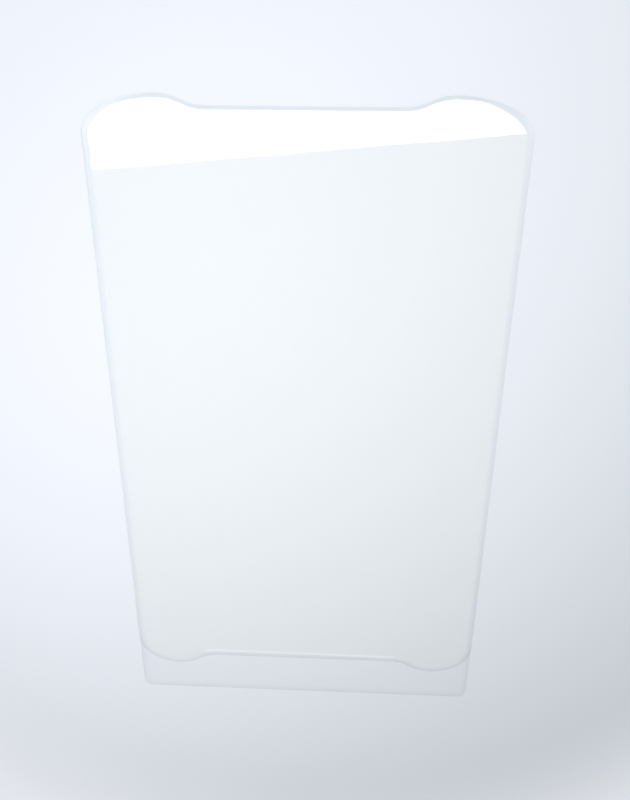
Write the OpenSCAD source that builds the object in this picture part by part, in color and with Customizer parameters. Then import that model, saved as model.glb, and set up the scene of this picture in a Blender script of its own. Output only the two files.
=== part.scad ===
// Screen protector: a clear glass pane with a rounded rim, lying on its release film.
// The pane has a rounded ear at each corner and a shallow recess in the middle of each end.
// The film stands out past the bottom end as a strip to pull it off by.
// Y runs along the pane, with the top end at +Y. The film lies on the plane Z = 0.

/* [Glass pane] */
// Width of the pane over its straight sides
glass_w = 67.5; // [55:0.5:90]
// Length of the pane over the ears of both ends
glass_l = 111.5; // [90:0.5:170]
// Thickness of the pane
glass_t = 0.33; // [0.3:0.01:0.6]
// Width of the rounded rim round the top face
rim_w = 1.1; // [0.3:0.05:1.5]
// Height that the rounded rim falls to the pane's side
rim_h = 0.2; // [0.1:0.01:0.25]
// Width and height of the ground bevel round the bottom face
bevel = 0.05; // [0.02:0.01:0.07]

/* [Top end] */
// Depth of the recess between the two ears
top_recess = 1.7; // [0.8:0.1:3]
// Length of each sloping flank of the recess, along the width
top_flank = 7.2; // [5:0.1:9]
// Reach of each rounded corner along the width
top_corner_w = 11.8; // [6:0.1:14]
// Reach of each rounded corner along the length
top_corner_l = 5.9; // [4:0.1:9]

/* [Bottom end] */
// Depth of the recess between the two ears
bottom_recess = 2.3; // [0.8:0.1:3]
// Length of each sloping flank of the recess, along the width
bottom_flank = 8; // [6:0.1:9]
// Reach of each rounded corner along the width
bottom_corner_w = 8; // [6:0.1:14]
// Reach of each rounded corner along the length
bottom_corner_l = 6.4; // [4:0.1:9]

/* [Release film] */
// Thickness of the film
film_t = 0.1; // [0.05:0.01:0.2]
// How far the film's edge lies inside the pane's outline
film_inset = 0.08; // [0:0.01:0.5]
// How far the film's pull end stands out past the pane's bottom ears
film_tab = 6.9; // [3:0.1:20]
// Radius of the two corners of the pull end
film_corner_r = 1.7; // [0.5:0.1:6]

/* [Hidden] */

// Number of steps in a rounded corner, in each arc of a flank and over the rim
corner_steps = 24;
flank_steps = 8;
rim_steps = 8;

// The origin is at the middle of the whole part, with the film's pull end counted in
total_l = glass_l + film_tab;
top_y = total_l / 2;
bottom_y = top_y - glass_l;
film_end_y = bottom_y - film_tab;

// One end of the pane, as the depth of its recess, the length of its flanks and the reach of its corners
top_end = [top_recess, top_flank, top_corner_w, top_corner_l];
bottom_end = [bottom_recess, bottom_flank, bottom_corner_w, bottom_corner_l];

// Edge points are [x, y, nx, ny], with the outward normal, and y counts outwards from the ear tops.
// A flank is two arcs of one radius, which meet in the middle of the slope with no corner between them.
function flank_r(recess, flank) = (pow(flank, 2) + pow(recess, 2)) / (4 * recess);
function flank_angle(recess, flank) = asin(flank / 2 / flank_r(recess, flank));

// Arc that leaves the recess floor, hollow towards the outside
function hollow_arc(recess, flank, crest_x) =
    let (r = flank_r(recess, flank), sweep = flank_angle(recess, flank))
    [for (i = [0 : flank_steps - 1]) let (a = sweep * i / flank_steps)
        [crest_x - flank + r * sin(a), -recess + r * (1 - cos(a)), -sin(a), cos(a)]];

// Arc that rises into the ear's crest, round towards the outside
function crest_arc(recess, flank, crest_x) =
    let (r = flank_r(recess, flank), sweep = flank_angle(recess, flank))
    [for (i = [0 : flank_steps - 1]) let (a = sweep * (1 - i / flank_steps))
        [crest_x - r * sin(a), -r * (1 - cos(a)), -sin(a), cos(a)]];

// Quarter ellipse from the ear's crest round to the pane's straight side
function corner_arc(corner_w, corner_l, crest_x) =
    [for (i = [0 : corner_steps]) let (a = 90 * (1 - i / corner_steps),
        n = [cos(a) / corner_w, sin(a) / corner_l])
        [crest_x + corner_w * cos(a), corner_l * (sin(a) - 1), n.x / norm(n), n.y / norm(n)]];

// Right half of one end, from the start of the flank to the end of the corner
function half_end(end) = let (crest_x = glass_w / 2 - end[2])
    concat(hollow_arc(end[0], end[1], crest_x), crest_arc(end[0], end[1], crest_x),
        corner_arc(end[2], end[3], crest_x));

function reversed(list) = [for (i = [len(list) - 1 : -1 : 0]) list[i]];
function mirrored_x(list) = [for (p = reversed(list)) [-p[0], p[1], -p[2], p[3]]];

// Whole end, from its left side over the top to its right side
function whole_end(end) = concat(mirrored_x(half_end(end)), half_end(end));

// Outlines run clockwise, seen from above. An end's points move inwards by inset.
function edge_point(p, inset) = [p[0] - inset * p[2], p[1] - inset * p[3]];
function top_outline(inset) = [for (p = whole_end(top_end)) edge_point(p, inset) + [0, top_y]];
function bottom_outline(inset) =
    [for (p = reversed(whole_end(bottom_end))) let (q = edge_point(p, inset)) [q.x, bottom_y - q.y]];
function pane_outline(inset) = concat(top_outline(inset), bottom_outline(inset));

// The film's outline keeps to the pane at the top end and has two round corners at its pull end
function round_corner(x, y, r, from) =
    [for (i = [0 : corner_steps]) let (a = from - 90 * i / corner_steps) [x + r * cos(a), y + r * sin(a)]];
function film_outline() =
    let (corner_x = glass_w / 2 - film_inset - film_corner_r, corner_y = film_end_y + film_corner_r)
    concat(top_outline(film_inset), round_corner(corner_x, corner_y, film_corner_r, 0),
        round_corner(-corner_x, corner_y, film_corner_r, -90));

// Rim profile from the bottom face up to the top face, each step as [inset, height]
rim_profile = concat(
    [[bevel, 0], [0, bevel]],
    [for (i = [0 : rim_steps]) let (a = 90 * i / rim_steps)
        [rim_w * (1 - cos(a)), glass_t - rim_h * (1 - sin(a))]]);

// Solid lofted through one outline at each step of a profile
module loft(profile) {
    rings = [for (step = profile) [for (p = pane_outline(step[0])) [p.x, p.y, step[1]]]];
    count = len(rings[0]);
    last = len(rings) - 1;
    walls = [for (k = [0 : last - 1], i = [0 : count - 1]) let (j = (i + 1) % count)
        [k * count + i, k * count + j, (k + 1) * count + j, (k + 1) * count + i]];
    bottom_face = reversed([for (i = [0 : count - 1]) i]);
    top_face = [for (i = [0 : count - 1]) last * count + i];
    polyhedron([for (ring = rings) each ring], concat(walls, [bottom_face, top_face]));
}

// Tempered glass, with its adhesive coat bonded underneath
module glass_pane() color([0.90, 0.95, 0.97, 0.45]) translate([0, 0, film_t]) loft(rim_profile);

// Clear film under the whole pane, with a straight pull end past its bottom ears
module release_liner() color([0.85, 0.88, 0.92, 0.6]) linear_extrude(film_t) polygon(film_outline());

glass_pane();
release_liner();
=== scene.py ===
import math
import bpy
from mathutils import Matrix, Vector


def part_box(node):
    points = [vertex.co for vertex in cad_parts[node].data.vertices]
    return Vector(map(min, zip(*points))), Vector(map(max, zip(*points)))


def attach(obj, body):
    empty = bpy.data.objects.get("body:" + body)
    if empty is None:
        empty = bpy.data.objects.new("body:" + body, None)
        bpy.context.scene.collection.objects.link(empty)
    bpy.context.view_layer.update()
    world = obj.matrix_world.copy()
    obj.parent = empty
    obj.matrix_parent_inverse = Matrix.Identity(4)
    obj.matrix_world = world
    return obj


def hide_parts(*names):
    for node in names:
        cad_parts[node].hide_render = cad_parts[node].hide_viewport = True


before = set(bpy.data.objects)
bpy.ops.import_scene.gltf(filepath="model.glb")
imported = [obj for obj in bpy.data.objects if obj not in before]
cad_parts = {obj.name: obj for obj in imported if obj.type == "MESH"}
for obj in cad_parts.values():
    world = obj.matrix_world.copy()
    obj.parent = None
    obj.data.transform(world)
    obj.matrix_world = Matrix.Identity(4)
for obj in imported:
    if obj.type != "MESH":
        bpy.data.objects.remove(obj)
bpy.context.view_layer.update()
mm = 0.001
print("frame loaded:", ", ".join(sorted(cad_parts)))

# Sizes of the two sheets, as in the CAD. Their widths, lengths and thicknesses come from the frame.
glassPane = {
    "topEnd": {"recess": 1.7 * mm, "flank": 7.2 * mm, "cornerWide": 11.8 * mm, "cornerLong": 5.9 * mm},
    "bottomEnd": {"recess": 2.3 * mm, "flank": 8 * mm, "cornerWide": 8 * mm, "cornerLong": 6.4 * mm},
    "rimWidth": 1.1 * mm,       # how far the rounded rim reaches in over the top face
    "rimDrop": 0.2 * mm,        # how far it falls to the side
    "bevel": 0.05 * mm,         # ground off the lower edge
    "rimSteps": 16,
}
releaseFilm = {
    "inset": 0.08 * mm,         # how far its edge lies inside the pane's outline
    "cornerRadius": 1.7 * mm,   # at the pull end
    "bondGap": 0.002 * mm,      # keeps its upper face out of the pane's lower one
    # rimWidth also sets how far in the painted edge shade reaches
    "rimWidth": 1.5 * mm,       # the cutting die presses the upper edge down a little
    "rimDrop": 0.004 * mm,
    "bevel": 0.01 * mm,
    "rimSteps": 4,
}
cutting = {"cornerSteps": 48, "flankSteps": 16, "weld": 0.001 * mm}


def linear(hexColour):          # sRGB hex to a linear colour
    channels = [int(hexColour[i:i + 2], 16) / 255 for i in (1, 3, 5)]
    return [c / 12.92 if c <= 0.04045 else ((c + 0.055) / 1.055) ** 2.4 for c in channels] + [1]


def addNode(tree, kind, inputs=None, **settings):
    node = tree.nodes.new(kind)
    for name, value in settings.items():
        setattr(node, name, value)
    for socket, value in (inputs or {}).items():
        if isinstance(value, bpy.types.Node):       # a node stands for its first output
            value = value.outputs[0]
        if isinstance(value, bpy.types.NodeSocket):
            tree.links.new(value, node.inputs[socket])
        else:
            node.inputs[socket].default_value = value
    return node


# Outlines run clockwise, seen from above. Along one end, y counts outwards from the ear tops.
def flankPoints(end, crestX):   # two arcs of one radius, hollow first and then round
    radius = (end["flank"] ** 2 + end["recess"] ** 2) / (4 * end["recess"])
    sweep = math.asin(end["flank"] / 2 / radius)
    angles = [sweep * i / cutting["flankSteps"] for i in range(cutting["flankSteps"])]
    floorX = crestX - end["flank"]
    hollow = [(floorX + radius * math.sin(a), radius * (1 - math.cos(a)) - end["recess"]) for a in angles]
    crest = [(crestX - radius * math.sin(sweep - a), radius * (math.cos(sweep - a) - 1)) for a in angles]
    return hollow + crest


def cornerPoints(wide, long, crestX):    # quarter ellipse from an ear's top to the straight side
    steps = cutting["cornerSteps"]
    angles = [math.pi / 2 * (1 - i / steps) for i in range(steps + 1)]
    return [(crestX + wide * math.cos(a), long * (math.sin(a) - 1)) for a in angles]


def endPoints(end, halfWidth):
    crestX = halfWidth - end["cornerWide"]
    right = flankPoints(end, crestX) + cornerPoints(end["cornerWide"], end["cornerLong"], crestX)
    return [(-x, y) for x, y in reversed(right)] + right


def movedIn(points, by):
    moved = []
    for i, here in enumerate(points):
        along = (points[(i + 1) % len(points)] - points[i - 1]).normalized()
        moved.append(here + by * Vector((along.y, -along.x)))
    return moved


def paneOutline(low, high):
    top = [Vector((x, high.y + y)) for x, y in endPoints(glassPane["topEnd"], high.x)]
    bottom = [Vector((x, low.y - y)) for x, y in reversed(endPoints(glassPane["bottomEnd"], high.x))]
    return top, bottom


def filmOutline(low, high, top, bottom):
    along = movedIn(top + bottom, releaseFilm["inset"])[:len(top)]
    radius = releaseFilm["cornerRadius"]
    right = [Vector((x, low.y - y)) for x, y in reversed(cornerPoints(radius, radius, high.x - radius))]
    left = [Vector((-p.x, p.y)) for p in reversed(right)]
    return along + right + left


# One tree cuts both sheets: an edge section swept round the outline, closed by an upper and a lower face
def makeSheetCutter():
    tree = bpy.data.node_groups.new("cutSheet", "GeometryNodeTree")
    sockets = {"Geometry": "Geometry", "Base": "Float", "Thickness": "Float", "Rim Width": "Float",
               "Rim Drop": "Float", "Bevel": "Float", "Rim Steps": "Int", "Material": "Material"}
    for name, kind in sockets.items():
        tree.interface.new_socket(name, in_out="INPUT", socket_type="NodeSocket" + kind)
    tree.interface.new_socket("Geometry", in_out="OUTPUT", socket_type="NodeSocketGeometry")
    given = addNode(tree, "NodeGroupInput").outputs

    # Section of the edge, with x inwards and y upwards until it is turned over for the sweep
    wallTop = addNode(tree, "ShaderNodeMath", {
        0: given["Thickness"], 1: given["Rim Drop"]}, operation="SUBTRACT")
    rimPoints = addNode(tree, "ShaderNodeMath", {0: given["Rim Steps"], 1: 1}, operation="ADD")
    arc = addNode(tree, "GeometryNodeCurveArc", {
        "Resolution": rimPoints, "Radius": 1, "Start Angle": math.pi, "Sweep Angle": -math.pi / 2})
    rimCentre = addNode(tree, "ShaderNodeCombineXYZ", {"X": given["Rim Width"], "Y": wallTop})
    rimReach = addNode(tree, "ShaderNodeCombineXYZ", {
        "X": given["Rim Width"], "Y": given["Rim Drop"], "Z": 1})
    rim = addNode(tree, "GeometryNodeTransform", {
        "Geometry": arc, "Translation": rimCentre, "Scale": rimReach})
    bevelStart = addNode(tree, "ShaderNodeCombineXYZ", {"X": given["Bevel"]})
    wallStart = addNode(tree, "ShaderNodeCombineXYZ", {"Y": given["Bevel"]})
    wallEnd = addNode(tree, "ShaderNodeCombineXYZ", {"Y": wallTop})
    wall = addNode(tree, "GeometryNodeCurvePrimitiveLine", {"Start": wallStart, "End": wallEnd})
    bevel = addNode(tree, "GeometryNodeCurvePrimitiveLine", {"Start": bevelStart, "End": wallStart})

    # How far out a point lies on the rim, 0 at its inner end and 1 at the side wall
    place = addNode(tree, "ShaderNodeSeparateXYZ", {0: addNode(tree, "GeometryNodeInputPosition")}).outputs
    inwards = addNode(tree, "ShaderNodeMath", {0: place["X"], 1: given["Rim Width"]}, operation="DIVIDE")
    outwards = addNode(tree, "ShaderNodeMath", {0: 1, 1: inwards}, operation="SUBTRACT")

    # Sweep, once for the smooth rim and wall and once for the flat bevel
    outline = addNode(tree, "GeometryNodeSetCurveNormal", {"Curve": given["Geometry"]})
    whole = addNode(tree, "GeometryNodeJoinGeometry")
    for section, smooth in (((rim, wall), True), ((bevel,), False)):
        joined = addNode(tree, "GeometryNodeJoinGeometry")
        for part in section:
            tree.links.new(part.outputs[0], joined.inputs[0])
        turned = addNode(tree, "GeometryNodeTransform", {"Geometry": joined, "Scale": (1, -1, 1)})
        marked = addNode(tree, "GeometryNodeStoreNamedAttribute", {
            "Geometry": turned, "Name": "edgeShare", "Value": outwards})
        swept = addNode(tree, "GeometryNodeCurveToMesh", {"Curve": outline, "Profile Curve": marked})
        share = addNode(tree, "GeometryNodeInputNamedAttribute", {"Name": "edgeShare"})
        kept = addNode(tree, "GeometryNodeStoreNamedAttribute", {
            "Geometry": swept, "Name": "edgeShare", "Value": share}, domain="CORNER")
        shaded = addNode(tree, "GeometryNodeSetShadeSmooth", {"Geometry": kept, "Shade Smooth": smooth})
        tree.links.new(shaded.outputs[0], whole.inputs[0])

    # Upper and lower face
    normal = addNode(tree, "GeometryNodeInputNormal")
    for reach, height, below in ((given["Rim Width"], given["Thickness"], False), (given["Bevel"], 0, True)):
        inset = addNode(tree, "ShaderNodeVectorMath", {0: normal, "Scale": reach}, operation="SCALE")
        edge = addNode(tree, "GeometryNodeSetPosition", {"Geometry": outline, "Offset": inset})
        face = addNode(tree, "GeometryNodeFillCurve", {"Curve": edge}, mode="NGONS")
        flat = addNode(tree, "GeometryNodeSetShadeSmooth", {"Geometry": face, "Shade Smooth": False})
        lift = addNode(tree, "ShaderNodeCombineXYZ", {"Z": height})
        lifted = addNode(tree, "GeometryNodeTransform", {"Geometry": flat, "Translation": lift})
        if below:
            lifted = addNode(tree, "GeometryNodeFlipFaces", {"Mesh": lifted})
        tree.links.new(lifted.outputs[0], whole.inputs[0])

    closed = addNode(tree, "GeometryNodeMergeByDistance", {"Geometry": whole, "Distance": cutting["weld"]})
    base = addNode(tree, "ShaderNodeCombineXYZ", {"Z": given["Base"]})
    placed = addNode(tree, "GeometryNodeTransform", {"Geometry": closed, "Translation": base})
    real = addNode(tree, "GeometryNodeRealizeInstances", {"Geometry": placed})
    dressed = addNode(tree, "GeometryNodeSetMaterial", {"Geometry": real, "Material": given["Material"]})
    addNode(tree, "NodeGroupOutput", {0: dressed})
    return tree


sheetCutter = makeSheetCutter()


def cutSheet(name, points, base, thickness, sizes, material):
    outline = bpy.data.curves.new(name, "CURVE")
    outline.dimensions = "3D"
    spline = outline.splines.new("POLY")
    spline.points.add(len(points) - 1)
    for place, point in zip(spline.points, points):
        place.co = (point.x, point.y, 0, 1)
    spline.use_cyclic_u = True
    source = bpy.data.objects.new(name + "Outline", outline)
    bpy.context.scene.collection.objects.link(source)

    cutter = source.modifiers.new("cutSheet", "NODES")
    cutter.node_group = sheetCutter
    values = {
        "Base": base, "Thickness": thickness, "Rim Width": sizes["rimWidth"], "Rim Drop": sizes["rimDrop"],
        "Bevel": sizes["bevel"], "Rim Steps": sizes["rimSteps"], "Material": material}
    for item in sheetCutter.interface.items_tree:
        if item.in_out == "INPUT" and item.name in values:
            cutter[item.identifier] = values[item.name]
    evaluated = source.evaluated_get(bpy.context.evaluated_depsgraph_get())
    mesh = bpy.data.meshes.new_from_object(evaluated)
    mesh.name = name
    mesh.materials.pop(index=0)     # the outline's own empty slot
    piece = bpy.data.objects.new(name, mesh)
    bpy.context.scene.collection.objects.link(piece)
    bpy.data.objects.remove(source)
    print(name, "cut:", len(mesh.polygons), "faces")
    return piece


def clearMaterial(name, look):
    material = bpy.data.materials.new(name)
    material.use_nodes = True
    tree = material.node_tree
    tree.nodes.clear()
    place = addNode(tree, "ShaderNodeTexCoord").outputs["Object"]
    path = addNode(tree, "ShaderNodeLightPath").outputs
    along = addNode(tree, "ShaderNodeSeparateXYZ", {0: place}).outputs

    # Painted shade on the edge, on what is seen through the sheet, and painted shadow in the lamps' light that
    # falls through it onto the table
    edgeShare = addNode(tree, "ShaderNodeAttribute", attribute_name="edgeShare").outputs["Fac"]
    paintedShadeMask = addNode(tree, "ShaderNodeMath", {0: along["Y"], 1: look["paintedShadeBelow"]}, operation="LESS_THAN")
    outwards = addNode(tree, "ShaderNodeMath", {0: edgeShare, 1: paintedShadeMask}, operation="MULTIPLY")
    paintedShades = []
    for stops in (look["paintedShadeSeen"], look["lamps"]):
        ramp = addNode(tree, "ShaderNodeValToRGB", {"Fac": outwards})
        ramp.color_ramp.interpolation = "EASE"
        elements = ramp.color_ramp.elements
        elements[1].position = 1
        while len(elements) < len(stops):
            elements.new(0.5)
        for element, (share, colour) in zip(elements, stops):
            element.position = share
            element.color = linear(colour)
        paintedShades.append(ramp)

    # Glass and film touch with no air between, so a ray that crosses from one to the other meets no step
    atBond = addNode(tree, "ShaderNodeMath", {
        0: along["Z"], 1: look["bondZ"], 2: look["bondReach"]}, operation="COMPARE")
    inside = addNode(tree, "ShaderNodeNewGeometry").outputs["Backfacing"]
    crossing = addNode(tree, "ShaderNodeMath", {
        0: path["Ray Length"], 1: look["bondCrossing"]}, operation="LESS_THAN")
    through = addNode(tree, "ShaderNodeMath", {0: inside, 1: crossing}, operation="MAXIMUM")
    stepless = addNode(tree, "ShaderNodeMath", {0: atBond, 1: through}, operation="MULTIPLY")
    clinging = addNode(tree, "ShaderNodeMath", {0: along["Z"], 1: look["clingsBelow"]}, operation="LESS_THAN")
    bonded = addNode(tree, "ShaderNodeMath", {0: stepless, 1: clinging}, operation="MAXIMUM")
    index = addNode(tree, "ShaderNodeMapRange", {
        "Value": bonded, "To Min": look["ior"], "To Max": look["bondIor"]})

    # The coat lies a little unevenly and dulls the mirror image in soft patches, and the face is slightly wavy
    coat = addNode(tree, "ShaderNodeTexNoise", {
        "Vector": place, "Scale": 1 / look["patch"], "Detail": look["patchDetail"]}).outputs["Fac"]
    dull = addNode(tree, "ShaderNodeMapRange", {
        "Value": coat, "From Min": look["patchFrom"], "From Max": look["patchTo"],
        "To Min": look["roughness"][0], "To Max": look["roughness"][1]})
    waves = addNode(tree, "ShaderNodeTexNoise", {
        "Vector": place, "Scale": 1 / look["wave"], "Detail": 0}).outputs["Fac"]
    bent = addNode(tree, "ShaderNodeBump", {"Height": waves, "Distance": look["waveHeight"]})
    sheet = addNode(tree, "ShaderNodeBsdfPrincipled", {
        "Base Color": paintedShades[0], "Transmission Weight": 1, "IOR": index, "Roughness": dull, "Normal": bent})

    # The lamps' light falls straight through, so the table under the sheet is lit and not in its shadow
    # its colour is the painted shadow on the table under the sheet's edge
    passed = addNode(tree, "ShaderNodeBsdfTransparent", {"Color": paintedShades[1]})
    falling = addNode(tree, "ShaderNodeMath", {
        0: path["Is Shadow Ray"], 1: path["Is Diffuse Ray"]}, operation="MAXIMUM")
    mixed = addNode(tree, "ShaderNodeMixShader", {0: falling, 1: sheet, 2: passed})
    addNode(tree, "ShaderNodeOutputMaterial", {"Surface": mixed})
    return material


# Tempered float glass with a ground and polished rim. It mirrors sharply and has almost no colour of its own.
# Its curved rim is painted greyer: painted shade on what is seen through it, and a painted shadow line that
# the lamps' light falling through it casts on the table. Both stand for the light that the rim bends away, and
# draw the pane's thin outline.
temperedGlass = {
    "paintedShadeBelow": 1000 * mm,     # Y below which the edge has painted shade, here all the way round
    # painted shade and shadow, from the rim's inner end (0) to the side wall (1)
    "paintedShadeSeen": ((0, "#fdfefb"), (0.15, "#f9faf9"), (0.45, "#f6f8f8"), (0.75, "#f0f2f3"), (1, "#f4f6f6")),
    # lamps: the painted shadow line cast on the table under the rim
    "lamps": ((0, "#ffffff"), (0.15, "#fcfdfd"), (0.45, "#f9fafb"), (0.75, "#f6f7f8"), (1, "#f6f7f8")),
    "ior": 1.52,
    "bondIor": 1.001,           # glass to adhesive, which has almost its index
    "bondZ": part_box("glass_pane")[0].z,
    "bondReach": 0.004 * mm,
    "bondCrossing": 0.04 * mm,  # a ray that has come less far than this was already in the other sheet
    "clingsBelow": -1 * mm,     # nowhere
    "patch": 14 * mm,           # the oil-repelling top coat, in patches about a fingertip wide
    "patchDetail": 3,
    "patchFrom": 0.4, "patchTo": 0.7,
    "roughness": (0.012, 0.03),
    "wave": 40 * mm,            # tempering leaves the face wavy by half a micrometre
    "waveHeight": 0.0005 * mm,
}
# Clear polyester film, drawn and coated with silicone for release. It is duller than the glass, and softly
# wavy, as thin film is. Only along the edge of its pull end, past the pane, is it a little greyer: painted
# shade, and a painted shadow on the table, standing for the shade at that edge.
polyesterFilm = {
    # painted shade and shadow only along the pull end's edge, below this Y
    "paintedShadeBelow": -46 * mm,
    "paintedShadeSeen": ((0, "#ffffff"), (0.5, "#fcfcfd"), (1, "#f7f8f9")),
    "lamps": ((0, "#ffffff"), (0.5, "#fcfdfd"), (1, "#f7f8f9")),
    "ior": 1.57,
    "bondIor": 1.57 / 1.52,     # film to glass
    "bondZ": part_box("release_liner")[1].z - releaseFilm["bondGap"],
    "bondReach": 0.005 * mm,
    "bondCrossing": 0.04 * mm,
    "clingsBelow": 0.005 * mm,  # its underside clings to the table and mirrors nothing
    "patch": 20 * mm,           # the release coat
    "patchDetail": 3,
    "patchFrom": 0.4, "patchTo": 0.7,
    "roughness": (0.03, 0.05),
    "wave": 18 * mm,            # curl and tension from the roll, 4 micrometres high
    "waveHeight": 0.004 * mm,
}

low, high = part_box("glass_pane")
top, bottom = paneOutline(low, high)
pane = cutSheet("glassPane", top + bottom, low.z, high.z - low.z, glassPane,
                clearMaterial("temperedGlassPolished", temperedGlass))
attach(pane, "root")
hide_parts("glass_pane")

filmLow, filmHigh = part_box("release_liner")
film = cutSheet("releaseFilm", filmOutline(filmLow, filmHigh, top, bottom), filmLow.z,
                filmHigh.z - filmLow.z - releaseFilm["bondGap"], releaseFilm,
                clearMaterial("polyesterFilmReleaseCoated", polyesterFilm))
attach(film, "root")
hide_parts("release_liner")
print("sheets made")

# The room, at a plain level for lighting and at the table's own paleness where it is seen. In its mirror
# image each zone runs along one axis of the direction, between two places and two levels. It is palest
# straight above, bright to both sides and dim low down beyond the bottom end.
room = {
    "colour": "#f2f5fb", "fill": 0.5, "seen": 0.9,
    "zones": {
        "above": ("Z", (0.68, 0.95), (0.25, 0.9)),
        "sides": ("aside", (0.35, 0.6), (0, 1)),
        "topLeft": ("X", (-0.4, -0.24), (2.2, 0)),
        "topRight": ("X", (0.28, 0.45), (0, 1.5)),
        "towardsTop": ("Y", (-0.22, -0.08), (0, 1)),
        "upHigh": ("Z", (0.44, 0.6), (0, 1)),
        "horizon": ("Z", (0, 0.45), (0.5, 0)),
        "awayFromBottom": ("Y", (-0.6, -0.1), (0, 1)),
    },
}

# The table, a pale bluish board with a matt laminate. It has no gloss, and its colour fades in an oval from
# its lit
# side: a painted pool of light, paler near the lamp and darker away from it.
table = {
    "size": 6000 * mm, "drop": 0.02 * mm,       # the drop keeps it clear of the film's underside
    "paintedLitColour": "#f3f5fa", "far": "#cdd1d4", "roughness": 0.6,
    "paintedPoolCentre": (-25.6 * mm, 21.7 * mm, 0), "paintedPoolFade": (230 * mm, 150 * mm, 1), "paintedPoolTurn": 55.9,
    "plainFrom": 84 * mm, "plainBy": 130 * mm,
}


def makeTable():
    half = table["size"] / 2
    mesh = bpy.data.meshes.new("tableTop")
    corners = [(-half, -half), (half, -half), (half, half), (-half, half)]
    mesh.from_pydata([(x, y, -table["drop"]) for x, y in corners], [], [(0, 1, 2, 3)])
    material = bpy.data.materials.new("paleBoardMatt")
    material.use_nodes = True
    tree = material.node_tree
    tree.nodes.clear()
    place = addNode(tree, "ShaderNodeTexCoord").outputs["Object"]
    # painted pool of light: the board's colour is paler round the lit spot and darker away from it
    oval = addNode(tree, "ShaderNodeMapping", {
        "Vector": place, "Location": table["paintedPoolCentre"], "Rotation": (0, 0, math.radians(table["paintedPoolTurn"])),
        "Scale": table["paintedPoolFade"]}, vector_type="TEXTURE")
    away = addNode(tree, "ShaderNodeVectorMath", {0: oval}, operation="LENGTH").outputs["Value"]
    paintedPoolFade = addNode(tree, "ShaderNodeMapRange", {"Value": away}, interpolation_type="SMOOTHSTEP")
    colour = addNode(tree, "ShaderNodeMix", {
        "Factor": paintedPoolFade, 6: linear(table["paintedLitColour"]), 7: linear(table["far"])}, data_type="RGBA").outputs[2]
    board = addNode(tree, "ShaderNodeBsdfPrincipled", {
        "Base Color": colour, "Roughness": table["roughness"], "Specular IOR Level": 0.0})

    # Further off than the lamp reaches, the board is seen and mirrored as pale as the room behind it
    path = addNode(tree, "ShaderNodeLightPath").outputs
    seen = path["Is Camera Ray"]
    for kind in ("Is Glossy Ray", "Is Transmission Ray"):
        seen = addNode(tree, "ShaderNodeMath", {0: seen, 1: path[kind]}, operation="MAXIMUM")
    distance = addNode(tree, "ShaderNodeVectorMath", {0: place}, operation="LENGTH").outputs["Value"]
    plain = addNode(tree, "ShaderNodeMapRange", {
        "Value": distance, "From Min": table["plainFrom"], "From Max": table["plainBy"]},
        interpolation_type="SMOOTHSTEP")
    share = addNode(tree, "ShaderNodeMath", {0: plain, 1: seen}, operation="MULTIPLY")
    glow = addNode(tree, "ShaderNodeEmission", {"Color": linear(room["colour"]), "Strength": room["seen"]})
    whole = addNode(tree, "ShaderNodeMixShader", {0: share, 1: board, 2: glow})
    addNode(tree, "ShaderNodeOutputMaterial", {"Surface": whole})
    mesh.materials.append(material)
    top = bpy.data.objects.new("tableTop", mesh)
    bpy.context.scene.collection.objects.link(top)


makeTable()
print("table laid")

# Soft overhead light. The pane mirrors it as a white band, whose lower edge is the light's edge towards the
# bottom end.
overheadLamp = {
    "height": 300 * mm, "depth": 82 * mm, "glow": 10.5, "colour": "#fdfeff",
    "edgeLeft": (-127.1 * mm, -10.3 * mm), "edgeRight": (95.7 * mm, 10.5 * mm),
}
# Thin low light beyond the bottom end. The face just inside the bottom rim mirrors it as a thin bright line.
lowLamp = {
    "centre": (-25 * mm, -440.1 * mm, 400.9 * mm), "aim": (-25 * mm, -48.5 * mm, 0),
    "size": (162 * mm, 3.3 * mm), "glow": 1.5, "colour": "#fdfeff",
}


def addLamp(name, centre, aim, size, glow, colour, turn=0.0):
    light = bpy.data.lights.new(name, "AREA")
    light.shape = "RECTANGLE"
    light.size, light.size_y = size
    light.energy = glow * math.pi * size[0] * size[1]
    light.color = linear(colour)[:3]
    lamp = bpy.data.objects.new(name, light)
    bpy.context.scene.collection.objects.link(lamp)
    lamp.location = centre
    facing = (Vector(aim) - Vector(centre)).to_track_quat("-Z", "Y")
    lamp.rotation_euler = facing.to_euler()
    lamp.rotation_euler.rotate_axis("Z", turn)


left, right = Vector(overheadLamp["edgeLeft"]), Vector(overheadLamp["edgeRight"])
along = right - left
across = Vector((-along.y, along.x)).normalized() * overheadLamp["depth"]
middle = (left + right + across) / 2
addLamp("overheadLamp", (middle.x, middle.y, overheadLamp["height"]), (middle.x, middle.y, 0),
        (along.length, overheadLamp["depth"]), overheadLamp["glow"], overheadLamp["colour"],
        math.atan2(along.y, along.x))
addLamp("lowLamp", **lowLamp)


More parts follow.
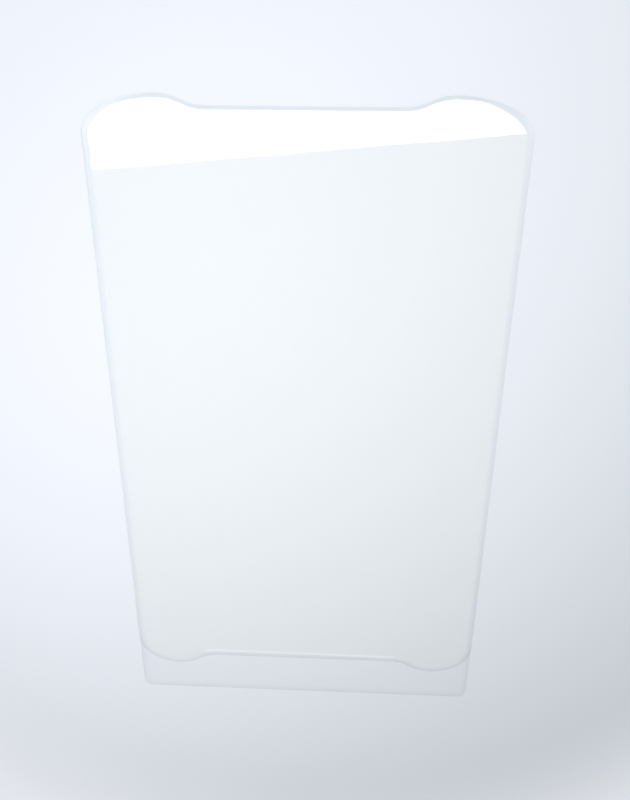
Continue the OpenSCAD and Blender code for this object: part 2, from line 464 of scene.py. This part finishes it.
def makeRoom():
    world = bpy.data.worlds.new("paleRoom")
    bpy.context.scene.world = world
    world.use_nodes = True
    tree = world.node_tree
    tree.nodes.clear()
    direction = addNode(tree, "ShaderNodeTexCoord").outputs["Generated"]
    way = addNode(tree, "ShaderNodeSeparateXYZ", {0: direction}).outputs
    aside = addNode(tree, "ShaderNodeMath", {0: way["X"]}, operation="ABSOLUTE").outputs[0]
    axes = {"X": way["X"], "Y": way["Y"], "Z": way["Z"], "aside": aside}
    level = {}
    for zone, (axis, (start, end), (startLevel, endLevel)) in room["zones"].items():
        level[zone] = addNode(tree, "ShaderNodeMapRange", {
            "Value": axes[axis], "From Min": start, "From Max": end,
            "To Min": startLevel, "To Max": endLevel},
            interpolation_type="LINEAR" if zone == "above" else "SMOOTHSTEP")
    for result, operation, first, second in (
            ("topSides", "ADD", "topLeft", "topRight"),
            ("topSides", "MULTIPLY", "topSides", "towardsTop"),
            ("lit", "ADD", "sides", "topSides"),
            ("lit", "MULTIPLY", "lit", "upHigh"),
            ("lowGlow", "MULTIPLY", "horizon", "awayFromBottom"),
            ("extra", "ADD", "lit", "lowGlow"),
            ("around", "ADD", "above", "extra")):
        level[result] = addNode(tree, "ShaderNodeMath", {
            0: level[first], 1: level[second]}, operation=operation)

    path = addNode(tree, "ShaderNodeLightPath").outputs
    mirrored = addNode(tree, "ShaderNodeMath", {
        0: path["Is Glossy Ray"], 1: path["Is Transmission Ray"]}, operation="MAXIMUM")
    plain = addNode(tree, "ShaderNodeMapRange", {
        "Value": path["Is Camera Ray"], "To Min": room["fill"], "To Max": room["seen"]})
    strength = addNode(tree, "ShaderNodeMix", {
        "Factor": mirrored, 2: plain, 3: level["around"]}, data_type="FLOAT")
    glow = addNode(tree, "ShaderNodeBackground", {"Color": linear(room["colour"]), "Strength": strength})
    addNode(tree, "ShaderNodeOutputWorld", {"Surface": glow})


makeRoom()
print("lamps and room set")

# The camera leans over the top end. Its shift puts the lens axis where the photograph's is.
cameraSetup = {
    "lens": 36.248, "nearest": 10 * mm, "place": (6.45 * mm, 72.132 * mm, 124.385 * mm),
    "turn": (-26.309, 2.768, 0.227), "shift": (0.008125, -0.008125),
}


def makeCamera():
    camera = bpy.data.cameras.new("camera")
    camera.lens = cameraSetup["lens"]
    camera.shift_x, camera.shift_y = cameraSetup["shift"]
    camera.clip_start = cameraSetup["nearest"]
    holder = bpy.data.objects.new("camera", camera)
    bpy.context.scene.collection.objects.link(holder)
    holder.location = cameraSetup["place"]
    holder.rotation_euler = [math.radians(a) for a in cameraSetup["turn"]]
    bpy.context.scene.camera = holder


makeCamera()
bpy.context.scene.view_settings.view_transform = "Standard"
print("camera set")
